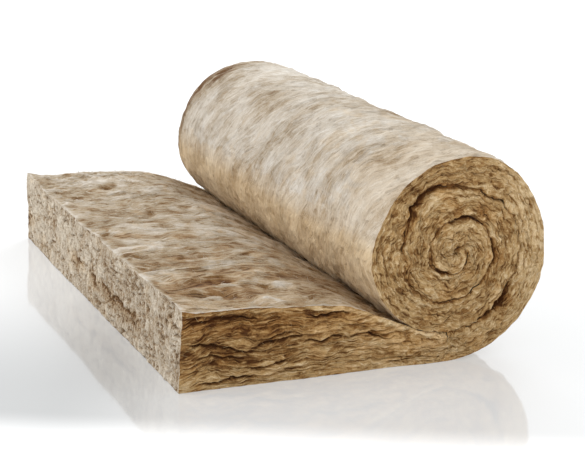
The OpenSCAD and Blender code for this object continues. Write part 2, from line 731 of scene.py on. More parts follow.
@dataclass
class TopSkin(Fabric):
    """The top of the flat length, from its cut end to under the roll.

    Attributes:
        width_columns: Steps across the mat.
        tufts: X and Y of loose pale tufts, in metres.
        valley: X and Y of a brown hollow, in metres.
        seed: The number that fixes its pattern.
    """

    width_columns: int = 360
    tufts: tuple[tuple[float, float], ...] = (
        (-0.213, -0.552),
        (-0.277, -0.455),
        (-0.16, -0.47),
        (-0.33, -0.52),
    )
    valley: tuple[float, float] = (-0.287, -0.423)
    seed: int = 53

    def grid(self) -> Grid:
        """Builds the surface.

        Returns:
            A grid along the mat by across it, with its streaks' directions.
        """
        shape = self.shape
        x = shape.flat_stations()
        x = x[x < shape.axis - shape.nip + 0.03][:, None]
        y = shape.width_stations(self.width_columns)[None, :]
        base = self.uneven.moved(*np.broadcast_arrays(x, y, shape.flat_top(x, y)))
        plain = Pattern(WoolNoise(self.seed), x, y)
        drift = 0.05 * plain.rough(0.22, 0.22, 1.37, octaves=2)
        curl = 0.017 * plain.rough(0.09, 0.08, 4.41, octaves=2)
        along = x + 0.04 * plain.at(0.15, 0.15, 8.39)
        across = y + drift + curl
        woven = Pattern(plain.noise, along, across)
        edge = np.minimum(shape.half_width - np.abs(y), x - shape.left)
        inside = smooth_step(edge, 0.0, 0.025)
        swell = woven.rough(0.2, 0.06, 11.37)
        folds = woven.crests(0.2, 0.05, 15.41)
        strands = woven.crests(0.09, 0.018, 19.43)
        threads = woven.at(0.045, 0.008, 23.39)
        pits = woven.patches(0.06, 0.022, 27.37, 0.35, 0.7)
        ragged_x = x + 0.018 * plain.at(0.025, 0.02, 36.37)
        ragged_y = y + 0.014 * plain.at(0.03, 0.02, 37.37)
        loose = sum(hump(ragged_x, at[0], 0.020) * hump(ragged_y, at[1], 0.011) for at in self.tufts)
        valley = hump(x, self.valley[0], 0.05) * hump(y, self.valley[1], 0.03)
        far_left = hump(y, shape.half_width, 0.35) * hump(x, shape.left + 0.12, 0.2)
        rocks = far_left * (np.abs(plain.rough(0.035, 0.03, 46.37)) - 0.4)
        relief = 0.005 * swell + 0.005 * folds + 0.0012 * strands + 0.0010 * threads - 0.005 * pits - 0.003
        relief = relief + 0.010 * rocks + 0.008 * loose * (0.6 + 0.4 * threads) - 0.008 * valley
        # Painted shade and light: height darkens the colour in the pits and between folds and strands, and
        # pales it where they and the rocks stand up.
        height = 0.6 * folds + 0.2 * strands + 0.3 * threads + 0.4 * swell - 1.2 * pits + 2.2 * rocks - 0.2
        # Painted light and shade at the crease where the top runs under the roll: paler, to lift the shadow
        # there, and more golden, for the crease's warm shade.
        to_nip = shape.axis - shape.nip - x
        painted_crease_shading = hump(to_nip, 0.0, 0.15) + hump(to_nip, 0.0, 0.04)
        near = hump(y, -shape.half_width, 0.25)
        rim = smooth_step(edge + 0.006 * plain.at(0.025, 0.025, 40.3), 0.012, 0.002)
        clouds = woven.rough(0.24, 0.08, 30.37)
        wisps = woven.at(0.06, 0.011, 33.41)
        mottle = plain.rough(0.045, 0.028, 43.37)
        tone = 0.8 * clouds + 0.15 * wisps + 0.9 * painted_crease_shading - 0.2 * near + 0.9 * rim + 1.4 * loose
        tone = tone - 1.4 * valley + 0.35 * mottle + 0.2 + 0.2 * far_left
        golden = 2.6 * painted_crease_shading + 0.8 * near + 1.5 * valley - 1.5 * loose - 1.0 * rim - 1.0 * far_left
        fuzz = 0.4 + 0.4 * folds + 2.5 * hump(edge, 0.0, 0.02) + 2.0 * loose
        flow = stack(along, across, 0.0 * along)
        values = {"flow": flow, "height": height, "tone": tone, "fuzz": fuzz, "golden": golden}
        bake = stack((x - shape.left) / (shape.axis - shape.left), shape.share_across(y))
        return Grid(self.raised(base, relief * inside), bake, values)


@dataclass
class CutEnd(Fabric):
    """The cut end of the flat length, which is torn open into pits.

    Attributes:
        rows: Steps up the end.
        width_columns: Steps across it.
        seed: The number that fixes its pattern.
    """

    rows: int = 72
    width_columns: int = 440
    seed: int = 67

    def grid(self) -> Grid:
        """Builds the surface.

        Returns:
            A grid up the end by across it, facing away from the roll.
        """
        shape = self.shape
        share = np.linspace(0, 1, self.rows + 1)[:, None]
        y = shape.width_stations(self.width_columns)[None, :]
        top = shape.flat_top(np.full_like(y, shape.left), y)
        z = share * top
        base = self.uneven.moved(*np.broadcast_arrays(shape.left + 0 * z, y, z))
        torn_face = Pattern(WoolNoise(self.seed), y, z)
        level = Pattern(torn_face.noise, y, 0 * z)
        edge = np.minimum(np.minimum(shape.half_width - np.abs(y), top - z), z + 0.006)
        inside = smooth_step(edge, 0.0, 0.010)
        bulge = torn_face.rough(0.12, 0.09, 0.37)
        loose = 0.25 * torn_face.at(0.07, 0.05, 2.43)
        pits = smooth_step(torn_face.at(0.026, 0.0075, 3.41) + loose, 0.35, 0.6)
        pores = smooth_step(torn_face.at(0.013, 0.0055, 6.37) + loose, 0.2, 0.5)
        bristle = torn_face.at(0.009, 0.028, 9.43)
        locks = torn_face.at(0.022, 0.07, 10.39)
        line = top * (0.40 + 0.10 * level.at(0.2, 1.0, 12.37) + 0.06 * level.at(0.045, 1.0, 13.37))
        torn = smooth_step(torn_face.at(0.09, 0.3, 15.41) + 0.7 * hump(y, -0.08, 0.22), 0.1, 0.5)
        crack = hump(z, line, 0.0038) * torn * torn_face.patches(0.03, 0.3, 18.41, -0.3, 0.2)
        relief = 0.004 * bulge + 0.0018 * bristle + 0.002 * locks
        relief = relief - 0.006 * pits - 0.003 * pores - 0.006 * crack
        # Painted shade: height darkens the colour in the pits, the pores and the crack, and pales it on
        # bristles and locks.
        height = 1.5 * bristle + 0.9 * locks - 1.8 * pits - 1.5 * pores - 4.5 * crack + 0.8
        stains = hump(z, line - 0.012, 0.016) * torn
        clouds = torn_face.rough(0.1, 0.05, 20.37)
        tone = 0.6 * clouds - 0.7 * stains + 0.5 * smooth_step(y, -0.3, 0.6) - 0.3
        golden = 1.5 * stains + 1.5 * crack
        fuzz = (0.5 + 2.5 * hump(edge, 0.004, 0.012)) * smooth_step(z, 0.015, 0.04)
        flow = stack(z + 0 * y, y + 0 * z, 0.0 * z)
        values = {"flow": flow, "height": height, "tone": tone, "fuzz": fuzz, "golden": golden}
        return Grid(self.raised(base, relief * inside), stack(shape.share_across(y), share), values)


@dataclass
class Underside(Fabric):
    """The underside of the flat length, which lies on the floor.

    Attributes:
        stride: How many of the flat length's stations are skipped for each one that is kept.
    """

    stride: int = 2

    def grid(self) -> Grid:
        """Builds the surface.

        Returns:
            A grid across the mat by along it, facing down.
        """
        shape = self.shape
        x = shape.flat_stations()[None, :: self.stride]
        y = shape.width_stations(shape.width_columns // self.stride)[:, None]
        base = self.uneven.moved(*np.broadcast_arrays(x, y, np.zeros_like(x * y)))
        bake = stack((x - shape.left) / (shape.axis - shape.left), shape.share_across(y))
        flat = np.zeros(base.shape[:2])
        values = {"flow": stack(x + 0 * y, y + 0 * x, flat), "height": flat, "tone": flat}
        return Grid(base, bake, values)


@dataclass(frozen=True)
class TurnGap:
    """A place where two turns of the roll stand apart, seen on its end.

    Attributes:
        angle: Its middle, in degrees anticlockwise from the bottom, counted on from the first turn.
        reach: Half its length, in degrees.
        width: Half its width, in metres.
        shift: How far out the seam lies there, in metres.
    """

    angle: float
    reach: float
    width: float
    shift: float

    def share(self, angle: np.ndarray) -> np.ndarray:
        """Returns how open the gap is at each angle, from 0 to 1."""
        return hump(angle, math.radians(self.angle), math.radians(self.reach))


@dataclass(frozen=True)
class Split:
    """A crevice between two layers on a side of the flat length.

    Attributes:
        start: X and Z of its end towards the cut end.
        end: X and Z of its other end.
        width: Half its width, in metres.
    """

    start: tuple[float, float]
    end: tuple[float, float]
    width: float

    def share(self, x: np.ndarray, z: np.ndarray) -> np.ndarray:
        """Returns how open the crevice is at each place, from 0 to 1."""
        length = self.end[0] - self.start[0]
        line = self.start[1] + (self.end[1] - self.start[1]) * (x - self.start[0]) / length
        along = hump(x, self.start[0] + length / 2, length * 0.5) ** 0.7
        return hump(z, line, self.width * (0.3 + along)) * smooth_step(along, 0.25, 0.7)


@dataclass(frozen=True)
class SideMarks:
    """What sets one side of the mat apart from the other.

    Attributes:
        gaps: Where the roll's turns stand apart.
        splits: Where the flat length's layers stand apart.
        stains: X, Z and size of brown places, in metres.
        lip: Whether the inmost turn ends in a pale lip.
        seed: The number that fixes this side's pattern.
    """

    gaps: tuple[TurnGap, ...]
    splits: tuple[Split, ...]
    stains: tuple[tuple[float, float, float], ...]
    lip: bool
    seed: int


NEAR_MARKS = SideMarks(
    gaps=(
        TurnGap(angle=360 + 214, reach=28, width=0.0092, shift=0.017),
        TurnGap(angle=360 + 44, reach=16, width=0.0055, shift=0.005),
        TurnGap(angle=720 + 172, reach=30, width=0.003, shift=0.004),
        TurnGap(angle=720 + 85, reach=24, width=0.0026, shift=0.004),
    ),
    splits=(
        Split((-0.41, 0.143), (-0.26, 0.147), 0.0021),
        Split((-0.41, 0.102), (-0.28, 0.080), 0.0021),
        Split((-0.265, 0.085), (-0.16, 0.101), 0.0024),
        Split((-0.15, 0.082), (-0.04, 0.088), 0.0019),
        Split((-0.38, 0.010), (-0.26, 0.025), 0.0024),
        Split((-0.275, 0.044), (-0.19, 0.048), 0.0022),
        Split((-0.39, 0.074), (-0.30, 0.064), 0.0016),
        Split((-0.01, 0.089), (0.04, 0.070), 0.0016),
        Split((-0.14, 0.139), (-0.045, 0.137), 0.0016),
    ),
    stains=((0.264, 0.329, 0.022), (0.307, 0.235, 0.022), (0.33, 0.12, 0.03), (0.20, 0.345, 0.02)),
    lip=True,
    seed=75,
)
FAR_MARKS = SideMarks(
    gaps=(
        TurnGap(angle=360 + 130, reach=34, width=0.007, shift=0.012),
        TurnGap(angle=720 + 20, reach=25, width=0.005, shift=0.004),
    ),
    splits=(
        Split((-0.39, 0.118), (-0.22, 0.135), 0.0050),
        Split((-0.36, 0.050), (-0.20, 0.040), 0.0050),
        Split((-0.18, 0.095), (-0.04, 0.080), 0.0045),
    ),
    stains=((0.12, 0.31, 0.025), (-0.30, 0.10, 0.04)),
    lip=False,
    seed=85,
)


@dataclass(frozen=True)
class Section:
    """The even section of the wound mat, as columns along the mat by rows through it.

    Attributes:
        x: X of each place.
        z: Z of each place.
        along: Distance along the mat.
        through: Distance through the mat, from its outer face.
        inset: Depth inside the mat's outline.
        gap: How open the seam between two turns is.
        wound: Whether the section is the roll's and not the flat length's.
        top: Depth below the flat length's top.
        seam: Distance from the nearest seam between turns.
        crest: How pale the place is beside an open gap.
    """

    x: np.ndarray
    z: np.ndarray
    along: np.ndarray
    through: np.ndarray
    inset: np.ndarray
    gap: np.ndarray
    wound: bool
    top: np.ndarray
    seam: np.ndarray
    crest: np.ndarray


@dataclass
class LayeredSide(Fabric):
    """One side of the mat: the edges of its layers, along the flat length and round the roll's spiral.

    Attributes:
        side: Which of the two sides.
        marks: What sets it apart.
        flat_rows: Steps through the flat length.
        wound_rows: Steps through one turn of the roll.
        step: Length of a step along the mat, in metres.
        widest: Half the width of a gap whose edge is at its palest, in metres.
    """

    side: Side = Side.NEAR
    marks: SideMarks = NEAR_MARKS
    flat_rows: int = 132
    wound_rows: int = 48
    step: float = 0.0026
    widest: float = 0.0092

    def spiral_angles(self) -> np.ndarray:
        """Returns angles that lie one step apart on the mat's outer face, almost to the middle."""
        angles = [self.step / self.shape.core_height]
        while angles[-1] < self.shape.full_angle:
            reach = self.shape.core_height - self.shape.turn * angles[-1] / FULL_TURN
            angles.append(angles[-1] + self.step / max(reach, 0.012))
        return np.array(angles[:-1])

    def seam_radius(self, angle: np.ndarray) -> np.ndarray:
        """Returns the radius of the seam outside the mat at an angle, moved out at the gaps."""
        shift = sum(gap.shift * gap.share(angle) for gap in self.marks.gaps)
        return np.maximum(self.shape.radius(angle) + shift, 0.0) * (angle < self.shape.full_angle)

    def flat_part(self) -> Section:
        """Works out the section of the flat length."""
        shape = self.shape
        share = np.linspace(0, 1, self.flat_rows + 1)[None, :]
        x = np.linspace(shape.left, shape.axis, round((shape.axis - shape.left) / self.step))[:, None]
        top = shape.flat_top(x, self.side.value * shape.half_width)
        z = share * top
        free = smooth_step(shape.axis - shape.nip - x, -0.01, 0.03)
        inset = np.minimum(np.minimum(z, (top - z) * free + (1 - free)), x - shape.left)
        gap = (1 - free) * hump(top - z, 0.0, 0.004) * 0.6
        x = x + 0 * z
        return Section(x, z, x - shape.left, z, inset, gap, False, top - z, 1.0 + 0 * z, 0 * z)

    def wound_part(self) -> Section:
        """Works out the section of the roll, spiralling in to the middle."""
        shape, noise = self.shape, WoolNoise(self.marks.seed + 2)
        share = np.linspace(0, 1, self.wound_rows + 1)[None, :]
        angle = np.concatenate([[0.0], self.spiral_angles()])[:, None]
        outer, inner = self.seam_radius(angle), self.seam_radius(angle + FULL_TURN)
        reach = outer + (inner - outer) * share
        x, z = shape.on_spiral(angle, reach)
        along = shape.axis - shape.left + self.step * np.arange(len(angle))[:, None] + 0 * z
        contact = FULL_TURN - shape.nip / shape.core_height
        inset = np.where(angle < contact, outer - reach, 1.0)
        loose = 0.25 + 0.75 * smooth_step(noise.at(angle * 1.7, 0.0 * angle, 9.37), -0.1, 0.5)
        seam = np.minimum(np.where(angle > contact, outer - reach, 1.0), reach - inner)
        gap = hump(seam, 0.0, 0.0036) * loose * 0.15
        crest = 0 * reach
        for opening in self.marks.gaps:
            outside = hump(reach, outer, opening.width) * opening.share(angle)
            within = hump(reach, inner, opening.width) * opening.share(angle + FULL_TURN)
            gap = np.maximum(gap, 1.3 * np.maximum(outside, within))
            wide = opening.width / self.widest
            crest = crest + wide * hump(outer - reach, 0.013 + opening.width, 0.010) * opening.share(angle)
        return Section(x, z, along, outer - reach, inset, gap, True, 1.0 + 0 * z, seam, crest)

    def crumpled(self, part: Section, noise: WoolNoise) -> np.ndarray:
        """Returns the places of the section, with its layers crumpled within the side's own plane."""
        shape = self.shape
        turn_x, turn_z = part.x - shape.axis, part.z - shape.core_height
        reach = np.maximum(np.hypot(turn_x, turn_z), 1e-6)
        core = hump(reach, 0.0, 0.07) * part.wound
        plain = Pattern(noise, part.x, part.z)
        push = 0.010 * (0.4 if part.wound else 1.0) * plain.at(0.13, 0.10, 1.37)
        coarse = 0.011 * np.where(part.wound, 1 + 0.5 * core, 0.45)
        push = push + coarse * (np.abs(plain.at(0.042, 0.042, 2.41)) - 0.3)
        fine = 0.006 * (1.0 if part.wound else 0.4)
        push = push + fine * (np.abs(plain.at(0.017, 0.017, 3.37)) - 0.3)
        slide = 0.006 * (1 + core) * plain.at(0.04, 0.04, 4.43) + 0.0025 * plain.at(0.016, 0.016, 5.41)
        up_x = np.where(part.wound, -turn_x / reach, 0.0)
        up_z = np.where(part.wound, -turn_z / reach, 1.0)
        soft = smooth_step(part.inset, 0.0, 0.02) * smooth_step(reach, 0.0, 0.02)
        across = self.side.value * shape.half_width
        shift = stack((up_x * push + up_z * slide) * soft, 0.0 * push, (up_z * push - up_x * slide) * soft)
        return self.uneven.moved(part.x, np.full_like(part.x, across), part.z) + shift

    def lip(self, part: Section) -> tuple[np.ndarray, np.ndarray]:
        """Returns the pale lip at the roll's middle and the hollow inside it, painted dark as shade, each
        from 0 to 1.
        """
        turn_x, turn_z = part.x - self.shape.axis, part.z - self.shape.core_height
        angle = np.degrees(np.arctan2(turn_x, -turn_z))
        line = 0.043 - 0.0004 * angle
        reach = np.hypot(turn_x, turn_z)
        held = smooth_step(angle, -75, -45) * smooth_step(angle, 60, 25) * part.wound * self.marks.lip
        # Painted shade: a dark band just inside the lip, where the hollow is.
        hollow = hump(reach, line - 0.009, 0.004) * smooth_step(angle, 0, -30)
        return hump(reach, line, 0.004) * held, hollow * held

    def level(self, part: Section, noise: WoolNoise, flat: np.ndarray) -> np.ndarray:
        """Returns how deep places lie among the layers, which wander up and down along the mat.

        Args:
            part: The section.
            noise: The side's own noise.
            flat: How far each place has the flat length's looks and not the roll's, from 0 to 1.

        Returns:
            Depths, in metres.
        """
        deep = Pattern(noise, part.along, part.through)
        level = part.through + (0.5 + 0.5 * flat) * 0.010 * deep.at(0.16, 0.06, 10.37)
        level = level + (0.6 + 0.4 * flat) * 0.005 * deep.at(0.05, 0.025, 11.41)
        return level + 0.002 * deep.at(0.02, 0.012, 12.43) + 0.02 * flat * hump(part.along, 0.0, 0.05)

    def tones(self, part: Section, flat: np.ndarray) -> tuple[np.ndarray, np.ndarray]:
        """Returns how much paler and how much more golden the side's marks and its painted shade make it.

        Args:
            part: The section.
            flat: How far each place has the flat length's looks and not the roll's, from 0 to 1.

        Returns:
            The paleness and the gold, both 0 where nothing marks the side.
        """
        shape, x, z = self.shape, part.x, part.z
        stain = sum(hump(x, at[0], at[2]) * hump(z, at[1], at[2]) for at in self.marks.stains)
        core = hump(np.hypot(x - shape.axis, z - shape.core_height), 0.0, 0.05) * part.wound
        # Darker towards the cut end: partly painted shade where the side lies farthest from the lamps,
        # partly the wool's browner colour there.
        dark = flat * smooth_step(part.along, 0.42, 0.1) * smooth_step(z, 0.02, 0.08)
        pale = smooth_step(x, 0.30, 0.38) * part.wound
        turning = hump(part.along, shape.axis - shape.left, 0.12)
        paler = 0.2 * core - 0.9 * stain - 1.1 * dark + 0.75 * pale - 0.25 * (1 - flat) + 0.4 * turning
        golden = 1.2 * flat * hump(part.top, 0.03, 0.03) + 1.2 * stain + 1.0 * part.gap - 0.8 * pale
        return paler, golden

    def grid(self, part: Section) -> Grid:
        """Builds the surface of a section.

        Args:
            part: The section of the flat length or of the roll.

        Returns:
            A grid along the mat by through its thickness, facing away from the mat.
        """
        shape, noise = self.shape, WoolNoise(self.marks.seed + 1)
        points = self.crumpled(part, noise)
        start = shape.axis - shape.left
        flat = 1 - smooth_step(part.along, start - 0.15, start + 0.1)
        along, x, z = part.along, part.x, part.z
        level = self.level(part, noise, flat)
        plain, laid, strip = Pattern(noise, x, z), Pattern(noise, along, level), Pattern(noise, along, 0 * z)
        size = 0.013 + 0.001 * flat
        sheets = laid.at(0.15 + 0.07 * flat, size, 13.37)
        laminae = laid.at(0.06 + 0.05 * flat, 0.45 * size, 14.41)
        threads = laid.at(0.022 + 0.02 * flat, 0.26 * size, 15.43)
        crack = np.clip(1 - np.abs(sheets) / 0.12, 0, 1) * (0.4 + 0.5 * flat)
        crack = crack * (0.2 + 0.8 * laid.patches(0.10, 0.04, 16.37, -0.1, 0.45))
        seam = np.clip(1 - np.abs(laminae) / 0.24, 0, 1) * (1 + 0.5 * flat)
        seam = seam * (0.3 + 0.7 * laid.patches(0.045, 0.02, 17.41, -0.2, 0.4))
        leaf = 0.0165 - 0.003 * flat
        leaves = np.abs(np.sin(math.pi * level / leaf + 1.6 * laid.at(0.2, 0.05, 33.37)))
        leaves = np.clip(1 - leaves / 0.38, 0, 1) * laid.patches(0.11, 0.03, 34.41, -0.35, 0.25)
        waved = z + 0.006 * plain.at(0.04, 0.05, 18.43) + 0.003 * plain.at(0.014, 0.03, 19.37)
        split = sum(mark.share(x, waved) for mark in self.marks.splits) * (1 - part.wound)
        flakes = laid.crests(0.02, 0.007, 20.41)
        crumb = plain.at(0.0075, 0.0055, 21.43)
        bunch = plain.rough(0.055, 0.03, 22.37)
        bulge = np.sqrt(np.abs(sheets))
        folded = np.sqrt(np.abs(laminae))
        rim = smooth_step(part.top + 0.006 * strip.at(0.03, 1.0, 23.41), 0.013, 0.006) * (along > 0.01)
        under_rim = hump(part.top, 0.017, 0.005) * strip.patches(0.08, 1.0, 24.43, -0.4, 0.2)
        lip, hollow = self.lip(part)
        inside = smooth_step(part.inset, 0.0, 0.016)
        ring = hump(part.seam, 0.0, 0.0045) * (0.6 + 0.4 * strip.patches(0.05, 1.0, 31.41, -0.3, 0.3))
        relief = (0.0030 + 0.0020 * flat) * bulge + 0.0025 * folded + 0.001 * threads
        relief = relief + (0.004 - 0.002 * flat) * bunch + (0.0015 - 0.0005 * flat) * crumb
        relief = relief + 0.0016 * flakes - 0.004 - 0.006 * crack - 0.0025 * seam - 0.011 * split
        relief = relief - 0.014 * part.gap - 0.003 * ring - 0.0028 * leaves + 0.006 * lip
        relief = relief - 0.008 * hollow - 0.004 * under_rim + 0.002 * hump(part.seam, 0.009, 0.005)
        points[..., 1] += self.side.value * relief * inside
        points[..., 2] = np.maximum(points[..., 2], 0.0)
        crest = hump(part.seam, 0.009, 0.004) * strip.patches(0.07, 1.0, 27.37, -0.4, 0.3)
        # Painted shade and light: height darkens the colour in cracks, seams, rings, splits, gaps, leaves,
        # the hollow and under the rim, and pales it on bulges, flakes, the lip, the rim and crests.
        height = 0.6 * (bulge - 0.55) + (0.6 + 0.4 * flat) * (folded - 0.5) + 0.6 * threads
        height = height + (0.35 - 0.1 * flat) * crumb + 0.6 * flakes + (0.2 - 0.1 * flat) * bunch
        height = height - 1.5 * crack - (0.6 + 0.3 * flat) * seam + 2.2 * lip + 2.8 * rim + 1.0 * crest
        height = (height - 1.2 * ring + 0.15) * inside**0.5
        height = height - 3.6 * split - 3.0 * part.gap - 3.0 * hollow - 1.8 * under_rim
        height = height + 1.8 * part.crest - (1.0 + 0.5 * flat) * leaves + 0.15
        paler, golden = self.tones(part, flat)
        tone = 0.27 * plain.rough(0.09, 0.05, 25.37) + 0.36 * laid.at(0.13, 0.016, 26.41) + paler
        golden = golden + 0.8 * ring
        fuzz = (0.4 + 3.0 * hump(part.inset, 0.0, 0.012)) * smooth_step(z, 0.02, 0.05)
        flow = stack(along * (1.6 - 0.6 * flat), level, 0.0 * x)
        values = {"flow": flow, "height": height, "tone": tone, "fuzz": fuzz, "golden": golden}
        length = shape.axis + shape.roll_height / 2 - shape.left
        bake = np.clip(stack((x - shape.left) / length, z / shape.roll_height), 0, 1)
        if self.side is Side.NEAR:
            return Grid(points, bake, values)
        mirrored = {name: value[:, ::-1] for name, value in values.items()}
        return Grid(points[:, ::-1], bake[:, ::-1], mirrored)


# ---------------------------------------------------------------- loose fibres


@dataclass(frozen=True)
class LooseFibres:
    """Loose fibres that stand up from a skin, laid out by Geometry Nodes.

    Attributes:
        density: Fibres for each square metre where the skin's "fuzz" attribute is 1.
        length: Length of the longest fibre, in metres.
        thickness: A fibre's radius as a share of its length.
        lift: How steeply the steepest fibre stands up, in degrees.
        seed: The number that fixes the layout.
        seen_along: The two axes, by number, across which the bake map is laid.
    """

    density: float = 900.0
    length: float = 0.020
    thickness: float = 0.018
    lift: float = 35.0
    seed: int = 3
    seen_along: tuple[int, int] = (0, 2)

    SHAPES: ClassVar[tuple] = (
        ((0.0, 0.0, 0.0), (0.5, 0.18, 0.12), (1.0, -0.08, 0.16)),
        ((0.0, 0.0, 0.0), (0.3, -0.20, 0.20), (0.75, -0.42, 0.10)),
        ((0.0, 0.0, 0.0), (0.6, 0.05, 0.22), (0.8, 0.35, 0.30)),
    )

    def tree(self) -> tuple[bpy.types.NodeTree, dict[str, str]]:
        """Builds the node tree.

        Returns:
            The tree, and the identifier of each of its inputs by name.
        """
        group = bpy.data.node_groups.new("loose_fibres", "GeometryNodeTree")
        kinds = {"Skin": "Geometry", "Seed": "Int", "Finish": "Material"}
        kinds |= dict.fromkeys(("Density", "Length", "Thickness", "Lift"), "Float")
        names = {}
        for title, kind in kinds.items():
            made = group.interface.new_socket(title, in_out="INPUT", socket_type=f"NodeSocket{kind}")
            names[title] = made.identifier
        group.interface.new_socket("Fibres", in_out="OUTPUT", socket_type="NodeSocketGeometry")
        tree = Tree(group)
        given = {title: tree.node("NodeGroupInput", output=title) for title in kinds}
        fuzz = tree.node("GeometryNodeInputNamedAttribute", {"Name": "fuzz"}, data_type="FLOAT")
        spots = {"Mesh": given["Skin"], "Density": fuzz * given["Density"], "Seed": given["Seed"]}
        points = tree.node("GeometryNodeDistributePointsOnFaces", spots, output="Points")
        upright = Socket(group, points.source.node.outputs["Rotation"])
        profile = {"Resolution": 3, "Radius": given["Thickness"]}
        ring = tree.node("GeometryNodeCurvePrimitiveCircle", profile, mode="RADIUS")
        bent = []
        for start, middle, end in self.SHAPES:
            bend = {"Resolution": 4, "Start": start, "Middle": middle, "End": end}
            curve = tree.node("GeometryNodeCurveQuadraticBezier", bend)
            tube = {"Curve": curve, "Profile Curve": ring, "Fill Caps": True}
            bent.append(tree.node("GeometryNodeCurveToMesh", tube))
        kit = tree.node("GeometryNodeGeometryToInstance", {"Geometry": bent})
        laying = {"Points": points, "Instance": kit, "Pick Instance": True, "Rotation": upright}
        laying |= {"Scale": tree.random(0.25, 1.0, seed=11) * given["Length"]}
        laid = tree.node("GeometryNodeInstanceOnPoints", laying)
        tilt = tree.random(0.0, -1.0, seed=12) * given["Lift"]
        turn = tree.node("ShaderNodeCombineXYZ", {"Y": tilt, "Z": tree.random(0.0, FULL_TURN, seed=13)})
        turning = {"Instances": laid, "Rotation": turn, "Local Space": True}
        turned = tree.node("GeometryNodeRotateInstances", turning)
        solid = tree.node("GeometryNodeRealizeInstances", {"Geometry": turned})
        dressed = tree.node("GeometryNodeSetMaterial", {"Geometry": solid, "Material": given["Finish"]})
        out = group.nodes.new("NodeGroupOutput")
        group.links.new(dressed.source, out.inputs["Fibres"])
        return group, names

    def on(self, skin: bpy.types.Object, name: str, finish: bpy.types.Material) -> bpy.types.Object:
        """Grows the fibres on a skin.

        Args:
            skin: The skin.
            name: Name of the new piece.
            finish: Its finish.

        Returns:
            A plain mesh object at the origin.
        """
        group, names = self.tree()
        holder = placed("holder", skin.data)
        modifier = holder.modifiers.new("fibres", "NODES")
        modifier.node_group = group
        values = {"Density": self.density, "Length": self.length, "Thickness": self.thickness}
        values |= {"Lift": math.radians(self.lift), "Seed": self.seed, "Finish": finish}
        for title, value in values.items():
            modifier[names[title]] = value
        mesh = bpy.data.meshes.new_from_object(holder.evaluated_get(bpy.context.evaluated_depsgraph_get()))
        holder.modifiers.remove(modifier)
        bpy.data.objects.remove(holder)
        bpy.data.node_groups.remove(group)
        mesh.name = name
        places = np.empty(len(mesh.vertices) * 3, np.float32)
        mesh.vertices.foreach_get("co", places)
        places = places.reshape(-1, 3)
        places[:, 2] = np.maximum(places[:, 2], 0.0)
        mesh.vertices.foreach_set("co", places.ravel())
        low, high = places.min(axis=0), places.max(axis=0)
        lay_bake_map(mesh, ((places - low) / (high - low))[:, self.seen_along])
        return placed(name, mesh)


@dataclass(frozen=True)
class FibreFinish:
    """The finish of the loose fibres.

    Attributes:
        name: Name of the material.
        colour: Colour of the palest fibres.

    CHANGES says how many changes of colour there are to a metre along X, Y and Z.
    """

    name: str
    colour: Colour

    CHANGES: ClassVar[Place] = (40.0, 40.0, 40.0)

    def material(self) -> bpy.types.Material:
        """Builds the finish, paler and darker from place to place."""
        material, tree = Tree.of_material(self.name)
        place = tree.node("ShaderNodeTexCoord", output="Object")
        change = tree.noise(tree.scaled(place, self.CHANGES))
        dark = tuple(part * 0.6 for part in self.colour)
        colour = tree.mixed(change, (*dark, 1.0), (*self.colour, 1.0))
        values = {"Base Color": colour, "Roughness": 0.9, "Specular IOR Level": 0.1}
        tree.finish(tree.node("ShaderNodeBsdfPrincipled", values))
        return material


# ---------------------------------------------------------------- studio


@dataclass(frozen=True)
class Lamp:
    """One soft square lamp.

    Attributes:
        name: Its name.
        place: Where it hangs.
        aim: What it is turned to.
        size: Length of its side, in metres.
        power: Its power, in watts.
        colour: Its colour.
    """

    name: str
    place: Place
    aim: Place
    size: float
    power: float
    colour: Colour

    def hang(self) -> None:
        """Hangs the lamp, which gloss doesn't show."""
        data = bpy.data.lights.new(self.name, "AREA")
        data.size = self.size
        data.energy = self.power
        data.color = self.colour
        lamp = placed(self.name, data)
        turn = (Vector(self.aim) - Vector(self.place)).to_track_quat("-Z", "Y")
        lamp.matrix_world = Matrix.Translation(self.place) @ turn.to_matrix().to_4x4()
        lamp.visible_glossy = False


